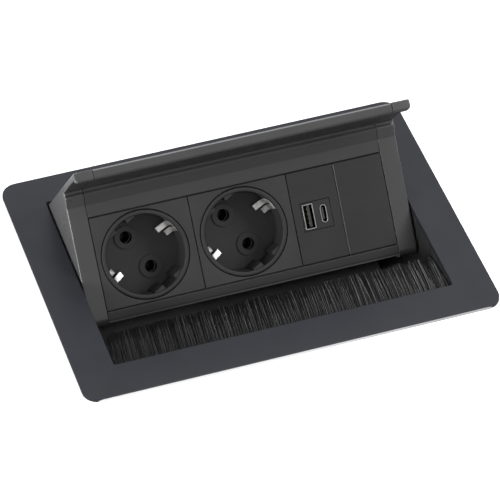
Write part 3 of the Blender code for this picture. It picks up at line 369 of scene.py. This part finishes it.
def paint_edge_highlights(material, colour):
    """Painted highlights: light lines along the caps' rounded outer edges, where they would catch
    the light.
    """
    rounded = rounded_normal(material, HIGHLIGHT_RADIUS, HIGHLIGHT_SAMPLES)
    highlit = ranged(material, dot(material, rounded, face_normal(material)), HIGHLIGHT_TURN)
    away = math_node(material, "ABSOLUTE", coordinate(material, own_place(material), "X"))
    outer = math_node(material, "GREATER_THAN", away, CAP_OUTER)
    lighten(material, math_node(material, "MULTIPLY", highlit, outer), colour)


def paint_edge_shading(material, node, direction, width, colour, fade=None):
    """A painted line of light, or of shade where its tone is dark, along a node's edge furthest in
    a direction; fade is its range in x.
    """
    place = own_place(material)
    level = max(vertex.co.dot(direction) for vertex in node.data.vertices)
    along = dot(material, place, tuple(direction))
    mask = ranged(material, along, (level - width, level - width * SHADING_FULL))
    if fade:
        rise = ranged(material, coordinate(material, place, "X"), fade)
        mask = math_node(material, "MULTIPLY", mask, rise)
    lighten(material, mask, colour)


def make_dark_looks():
    """Names and materials of coated sheet, anodised aluminium, dark plastics and rubber."""
    return [
        grained("powder_coat", (0.0275, 0.0287, 0.0355), roughness=0.42, grain=2600.0,
                depth=0.00004, contrast=0.06, specular=0.2),
        rolled_sheet("sheet_black"),
        grained("anodised", (0.047, 0.047, 0.048), roughness=0.38, grain=2200.0, depth=0.00001,
                metallic=0.05, contrast=0.03, stretch=ALONG_X, specular=0.3),
        grained("cap_plastic", (0.042, 0.042, 0.043), roughness=0.30, grain=2600.0, depth=0.00002,
                contrast=0.03),
        grained("insert_plastic", (0.0285, 0.0285, 0.0295), roughness=0.5, grain=2600.0,
                depth=0.00004, specular=0.25),
        grained("socket_plastic", (0.0405, 0.0405, 0.0415), roughness=0.5, grain=2600.0,
                depth=0.00004, specular=0.25),
        grained("cup_plastic", (0.033, 0.033, 0.034), roughness=0.5, grain=2600.0, depth=0.00004,
                specular=0.25),
        grained("tongue_plastic", (0.11, 0.11, 0.11), roughness=0.4, grain=1500.0, depth=0.00002),
        # painted highlight for the joint of the blank and USB inserts
        grained("joint_highlight", (0.13, 0.13, 0.13), roughness=0.45, grain=2600.0, depth=0.00002),
        grained("black_plastic", (0.014, 0.014, 0.014), roughness=0.55, grain=1500.0,
                depth=0.00003, specular=0.25),
        grained("bristle", (0.020, 0.020, 0.020), roughness=0.6, grain=1500.0, depth=0.00002),
        grained("rubber", (0.025, 0.025, 0.025), roughness=0.75, grain=1500.0, depth=0.00005),
    ]


def make_other_looks():
    """Names and materials of metals, the tub's sheet with painted light, and what lies hidden."""
    return [
        # painted light: a lighter copy of the black sheet, for the tub's shaded inside
        grained("tub_sheet_painted_light", (0.20, 0.20, 0.21), roughness=0.6, grain=1800.0, depth=0.00003,
                contrast=0.12, specular=0.2),
        grained("sleeve_brass", (0.070, 0.067, 0.062), roughness=0.5, grain=900.0, depth=0.00002,
                metallic=1.0, contrast=0.1, edge=METAL_EDGE_RADIUS),
        grained("zinc", (0.58, 0.59, 0.60), roughness=0.32, grain=1200.0, depth=0.00002,
                metallic=0.95, contrast=0.1),
        grained("spring_steel", (0.45, 0.45, 0.46), roughness=0.3, grain=900.0, depth=0.00002,
                metallic=1.0, contrast=0.1, stretch=ALONG_Z),
        grained("nickel", (0.74, 0.73, 0.72), roughness=0.48, grain=420.0, depth=0.00045,
                metallic=1.0, contrast=0.25, edge=METAL_EDGE_RADIUS),
        grained("brass", (0.75, 0.58, 0.28), roughness=0.3, grain=900.0, depth=0.00002,
                metallic=1.0, edge=METAL_EDGE_RADIUS),
        grained("receptacle_metal", (0.34, 0.34, 0.335), roughness=0.3, grain=900.0,
                depth=0.00001, metallic=1.0, contrast=0.04, edge=RECEPTACLE_EDGE_RADIUS),
        grained("inner_plastic", (0.55, 0.55, 0.52), roughness=0.55, grain=1500.0, depth=0.00004),
        grained("bush_plastic", (0.66, 0.66, 0.62), roughness=0.5, grain=1500.0, depth=0.00003),
        grained("board", (0.02, 0.13, 0.05), roughness=0.4, grain=700.0, depth=0.00003,
                contrast=0.25),
        grained("ferrite", (0.05, 0.05, 0.055), roughness=0.55, grain=1200.0, depth=0.00004),
    ]


def make_materials(nodes):
    """All materials by name, with painted light and shade: in the receptacles, on the caps' sides,
    and along the edges of the caps, lid, rail and plate.
    """
    looks = dict(make_dark_looks() + make_other_looks())
    # painted shade inside the receptacles' metal
    paint_receptacle_shade(looks["receptacle_metal"])
    cap = looks["cap_plastic"]
    # painted light on the caps' sideways faces
    paint_side_light(cap, (0.14, 0.14, 0.142))
    # painted highlights along the caps' outer edges
    paint_edge_highlights(cap, (0.95, 0.95, 0.95))
    lid, profile = looks["anodised"], nodes["housing_profile"]
    # painted highlight along the lid's top edge
    paint_edge_shading(lid, profile, LID_EDGE, LID_HIGHLIGHT_WIDTH, (0.20, 0.20, 0.21))
    # painted shade of a groove below the rail, which the profile doesn't have
    paint_edge_shading(lid, profile, RAIL_EDGE, RAIL_GROOVE_SHADE_WIDTH, (0.030, 0.030, 0.030))
    # painted highlight along the rail's lower edge
    paint_edge_shading(lid, profile, RAIL_EDGE, RAIL_HIGHLIGHT_WIDTH, (0.12, 0.12, 0.12))
    plate, sheet = looks["powder_coat"], nodes["frame_plate"]
    # painted reflection of the white desk on the plate's front edge, white at the left and turning
    # grey toward the right
    paint_edge_shading(plate, sheet, PLATE_EDGE, PLATE_REFLECTION_WIDTH, (0.95, 0.95, 0.95))
    paint_edge_shading(plate, sheet, PLATE_EDGE, PLATE_REFLECTION_WIDTH, (0.55, 0.55, 0.56), PLATE_REFLECTION_FADE)
    return looks


def dress_nodes(frame, looks):
    """Gives each CAD node the material of its slot, or its own."""
    for part in frame["record"]["subparts"]:
        name = part["node"]
        own = [look for mark, look in OWN_LOOKS.items() if mark in name]
        node = frame["nodes"][name]
        node.data.materials.clear()
        node.data.materials.append(looks[own[0] if own else part["material_slot"]])
        soften(node)


def soften(node):
    """Smooth shading over small turns, flat on large faces; the vertices stay where they are."""
    node.data.shade_smooth()
    weld = node.modifiers.new("weld", "WELD")
    weld.merge_threshold = WELD_DISTANCE
    group = node.modifiers.new("sharp", "NODES")
    group.node_group = sharp_group()
    normals = node.modifiers.new("normals", "WEIGHTED_NORMAL")
    normals.keep_sharp = True
    normals.weight = NORMAL_WEIGHT


def sharp_group():
    """Geometry nodes that keep edges of more than SHARP_ANGLE sharp."""
    name = "keep_sharp"
    if name in bpy.data.node_groups:
        return bpy.data.node_groups[name]
    group = bpy.data.node_groups.new(name, "GeometryNodeTree")
    group.interface.new_socket("Geometry", in_out="INPUT", socket_type="NodeSocketGeometry")
    group.interface.new_socket("Geometry", in_out="OUTPUT", socket_type="NodeSocketGeometry")
    nodes, links = group.nodes, group.links
    start, end = nodes.new("NodeGroupInput"), nodes.new("NodeGroupOutput")
    angle = nodes.new("GeometryNodeInputMeshEdgeAngle")
    flat = nodes.new("FunctionNodeCompare")
    flat.operation = "LESS_THAN"
    flat.inputs["B"].default_value = SHARP_ANGLE
    edges = nodes.new("GeometryNodeSetShadeSmooth")
    edges.domain = "EDGE"
    links.new(angle.outputs["Unsigned Angle"], flat.inputs["A"])
    links.new(start.outputs["Geometry"], edges.inputs["Geometry"])
    links.new(flat.outputs["Result"], edges.inputs["Shade Smooth"])
    links.new(edges.outputs["Geometry"], end.inputs["Geometry"])
    return group


def add_mesh(name, points, faces, material):
    mesh = bpy.data.meshes.new(name)
    mesh.from_pydata(points, [], faces)
    mesh.materials.append(material)
    piece = bpy.data.objects.new(name, mesh)
    bpy.context.scene.collection.objects.link(piece)
    return piece


def bristle_material():
    """Strands from black to grey by their own tone, with painted shade at the mouth and toward the
    left.
    """
    material = new_material("bristle_strands", (0.02, 0.02, 0.02), roughness=0.45)
    nodes, links = node_tree(material)
    strand = nodes.new("ShaderNodeAttribute")
    strand.attribute_name = "tone"
    ramp = nodes.new("ShaderNodeValToRGB")
    ramp.color_ramp.elements[0].color = (0.006, 0.006, 0.006, 1.0)
    ramp.color_ramp.elements[1].position = 1.0
    ramp.color_ramp.elements[1].color = (0.38, 0.38, 0.385, 1.0)
    middle = ramp.color_ramp.elements.new(MIDDLE_TONE)
    middle.color = (0.024, 0.024, 0.025, 1.0)
    links.new(strand.outputs["Fac"], ramp.inputs["Fac"])
    # painted shade: darker toward the left and at the mouth, where the housing and plate shade the
    # strands
    place = own_place(material)
    ends, reach = (-BRISTLE_HALF, BRISTLE_HALF), (BRISTLE_MOUTH_Y, BRISTLE_TIP_Y)
    across = ranged(material, coordinate(material, place, "X"), ends, SHADE_ACROSS)
    outward = ranged(material, coordinate(material, place, "Y"), reach, SHADE_OUTWARD)
    toned = nodes.new("ShaderNodeVectorMath")
    toned.operation = "SCALE"
    links.new(ramp.outputs["Color"], toned.inputs[0])
    links.new(math_node(material, "MULTIPLY", across, outward), toned.inputs["Scale"])
    set_base(material, toned.outputs["Vector"])
    return material


def strand_rings(draw, x, longer, lean, light):
    """The middle line of one strand, from the holder over the mouth to its drooping tip."""
    z = BRISTLE_Z + (BRISTLE_STACK if light else draw.uniform(-BRISTLE_STACK, BRISTLE_STACK))
    tip_y = BRISTLE_TIP_Y + longer + draw.gauss(0, TIP_SPREAD)
    side = BRISTLE_LEAN - BRISTLE_LEAN_FALL * x / BRISTLE_HALF + lean + draw.gauss(0, LEAN_SPREAD)
    side = min(side, (BRISTLE_HALF - x) * LEAN_ROOM + draw.uniform(0.0, END_SPREAD))
    curl = draw.gauss(0, CURL_SPREAD)
    droop = BRISTLE_DROOP + abs(draw.gauss(0, DROOP_SPREAD))
    rings = [(x, BRISTLE_ROOT_Y, z), (x, BRISTLE_MOUTH_Y, z)]
    for share in STRAND_SHARES:
        level = BRISTLE_Z + (z - BRISTLE_Z) * (1.0 - STACK_CLOSING * share) - droop * share ** 2
        across = x + side * share + curl * math.sin(share * math.pi)
        across = min(max(across, -BRISTLE_HALF), BRISTLE_HALF)
        rings.append((across, BRISTLE_MOUTH_Y + (tip_y - BRISTLE_MOUTH_Y) * share, level))
    return rings


def add_strand(points, faces, rings, radius):
    """A thin closed tube along the rings' middles, tapering to the tip."""
    start = len(points)
    for n, (cx, cy, cz) in enumerate(rings):
        width = radius * (1.0 - BRISTLE_TAPER * n)
        for side in range(STRAND_SIDES):
            turn = math.tau * side / STRAND_SIDES + STRAND_TURN
            points.append((cx + width * math.cos(turn), cy, cz + width * math.sin(turn)))
        if n:
            low = start + STRAND_SIDES * (n - 1)
            high = low + STRAND_SIDES
            for side in range(STRAND_SIDES):
                after = (side + 1) % STRAND_SIDES
                faces.append((low + side, low + after, high + after, high + side))
    last = start + STRAND_SIDES * (len(rings) - 1)
    faces.append((last, last + 1, last + 2))
    faces.append((start + 2, start + 1, start))


def make_bristles():
    """The brush as single strands, in tufts of uneven length and lean, with gaps between them."""
    draw = random.Random(BRISTLE_SEED)
    tufts = [(draw.gauss(0, TUFT_SPREAD), draw.gauss(0, TUFT_SPREAD)) for _ in range(TUFTS)]
    points, faces, tones = [], [], []
    for number in range(BRISTLES):
        light = number % LIGHT_EVERY == 0
        place = number + draw.random() * (LIGHT_EVERY if light else 1)
        x = min(BRISTLE_HALF * (2 * place / BRISTLES - 1), BRISTLE_HALF)
        place = (x + BRISTLE_HALF) / (2 * BRISTLE_HALF) * (len(tufts) - TUFT_END)
        k = int(place)
        longer, lean = (a + (b - a) * (place - k) for a, b in zip(tufts[k], tufts[k + 1]))
        low, high = (LIGHT_TONES, 1.0) if light else (0.0, DARK_TONES)
        tone = low + (high - low) * draw.random()
        rings = strand_rings(draw, x, longer, lean, light)
        tones += [tone] * (STRAND_SIDES * len(rings))
        add_strand(points, faces, rings, LIGHT_R if light else BRISTLE_R)
    strands = add_mesh("bristles", points, faces, bristle_material())
    strands.data.shade_smooth()
    strands.data.attributes.new("tone", "FLOAT", "POINT").data.foreach_set("value", tones)
    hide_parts("bristle_strip")
    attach(strands, "tub")


def add_panel_box(points, faces, across, upward, outward):
    """A box between two places across, up and out of the panel."""
    first = len(points)
    for x in across:
        for up in upward:
            for out in outward:
                corner = Vector((x, 0.0, 0.0)) + PANEL_ORIGIN + PANEL_UP * up + PANEL_OUT * out
                points.append(tuple(corner))
    faces += [tuple(first + k for k in quad) for quad in BOX_FACES]


def make_contacts(material):
    """The four contact strips on the tongue of the type A receptacle."""
    points, faces = [], []
    for up in CONTACT_PLACES:
        upward = (up - CONTACT_HALF, up + CONTACT_HALF)
        add_panel_box(points, faces, CONTACT_ACROSS, upward, CONTACT_OUT)
    contacts = add_mesh("usb_a_contacts", points, faces, material)
    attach(contacts, "housing")


def make_joint_highlight(material):
    """A painted highlight: a light strip at the blank insert's joint with the USB insert."""
    points, faces = [], []
    add_panel_box(points, faces, JOINT_ACROSS, (-JOINT_UP, JOINT_UP), JOINT_OUT)
    joint = add_mesh("insert_joint_highlight", points, faces, material)
    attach(joint, "housing")


def desk_material():
    """White for the camera, and a plain pale tone for the light that it throws back."""
    bounce, white = (DESK_BOUNCE,) * 3, (DESK_SEEN,) * 3
    material = new_material("desk_white", white, roughness=0.9, specular=0.1)
    nodes, links = node_tree(material)
    seen = nodes.new("ShaderNodeLightPath").outputs["Is Camera Ray"]
    set_base(material, mixed(material, seen, opaque(bounce), opaque(white)))
    shader = shader_of(material)
    shader.inputs["Emission Color"].default_value = (1.0, 1.0, 1.0, 1.0)
    lift = math_node(material, "MULTIPLY", seen, DESK_LIFT)
    links.new(lift, shader.inputs["Emission Strength"])
    return material


def make_floor():
    """The white desk top, with the cut-out that the module hangs in."""
    half_w, half_d = CUTOUT[0] / 2, CUTOUT[1] / 2
    corners = ((1, -1), (1, 1), (-1, 1), (-1, -1))
    outer = [(x * DESK_REACH, y * DESK_REACH) for x, y in corners]
    inner = [(x * half_w, y * half_d) for x, y in corners]
    points = [(x, y, DESK_Z - DESK_GAP) for x, y in outer + inner]
    points += [(x, y, DESK_Z - DESK_THICKNESS) for x, y in inner]
    faces = []
    for k in range(4):
        after = (k + 1) % 4
        faces.append((k, after, 4 + after, 4 + k))
        faces.append((4 + k, 4 + after, 8 + after, 8 + k))
    floor = add_mesh("desk", points, faces, desk_material())


def make_world():
    """White for the camera; for other rays it falls off toward the horizon, as a studio does."""
    world = bpy.data.worlds.new("studio")
    bpy.context.scene.world = world
    world.use_nodes = True
    nodes, links = node_tree(world)
    sky = nodes["Background"]
    sky.inputs["Color"].default_value = (1.0, 1.0, 1.0, 1.0)
    rays = nodes.new("ShaderNodeLightPath").outputs
    place = nodes.new("ShaderNodeTexCoord").outputs["Generated"]
    height = coordinate(world, place, "Z")
    falloff = ranged(world, height, HORIZON_Z, (HORIZON, OVERHEAD), "SMOOTHSTEP")
    mirrored = math_node(world, "MAXIMUM", rays["Is Glossy Ray"], rays["Is Transmission Ray"])
    kind = ranged(world, mirrored, (0.0, 1.0), (DIFFUSE_SHARE, 1.0))
    lit = math_node(world, "MULTIPLY", falloff, kind)
    links.new(math_node(world, "MAXIMUM", rays["Is Camera Ray"], lit), sky.inputs["Strength"])


def make_lamp(name, place, size, watts, target=PLATE_MIDDLE):
    lamp = bpy.data.lights.new(name, "AREA")
    lamp.shape = "RECTANGLE"
    lamp.size, lamp.size_y = size
    lamp.energy = watts
    holder = bpy.data.objects.new(name, lamp)
    bpy.context.scene.collection.objects.link(holder)
    holder.location = place
    holder.rotation_euler = (Vector(target) - Vector(place)).to_track_quat("-Z", "Y").to_euler()


def make_lamps():
    make_lamp("key", (1.30, -0.75, 1.35), size=(0.7, 0.7), watts=14.3)
    make_lamp("top", (0.45, 0.35, 1.85), size=(1.0, 0.6), watts=13.3)
    make_lamp("rear", (0.35, 1.5, 0.45), size=(1.8, 0.3), watts=3.0, target=LID_MIDDLE)
    make_lamp("left", (-1.45, -0.45, 0.42), size=(0.16, 0.6), watts=16.0)
    make_lamp("front", CAMERA_AT + Vector((0.0, 0.0, FRONT_LAMP_LIFT)), size=(0.1, 0.1), watts=2.5)


def make_camera():
    camera = bpy.data.cameras.new("camera")
    camera.lens = CAMERA_LENS
    camera.sensor_width = CAMERA_SENSOR
    camera.clip_start = 0.05
    camera.clip_end = 20.0
    holder = bpy.data.objects.new("camera", camera)
    bpy.context.scene.collection.objects.link(holder)
    turn = Matrix(CAMERA_AXES).transposed().to_4x4()
    holder.matrix_world = Matrix.Translation(CAMERA_AT) @ turn
    bpy.context.scene.camera = holder


def main():
    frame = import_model()
    make_camera()
    looks = make_materials(frame["nodes"])
    dress_nodes(frame, looks)
    make_bristles()
    make_contacts(looks["brass"])
    make_joint_highlight(looks["joint_highlight"])
    make_floor()
    make_world()
    make_lamps()
    bpy.context.scene.view_settings.view_transform = "Standard"


main()
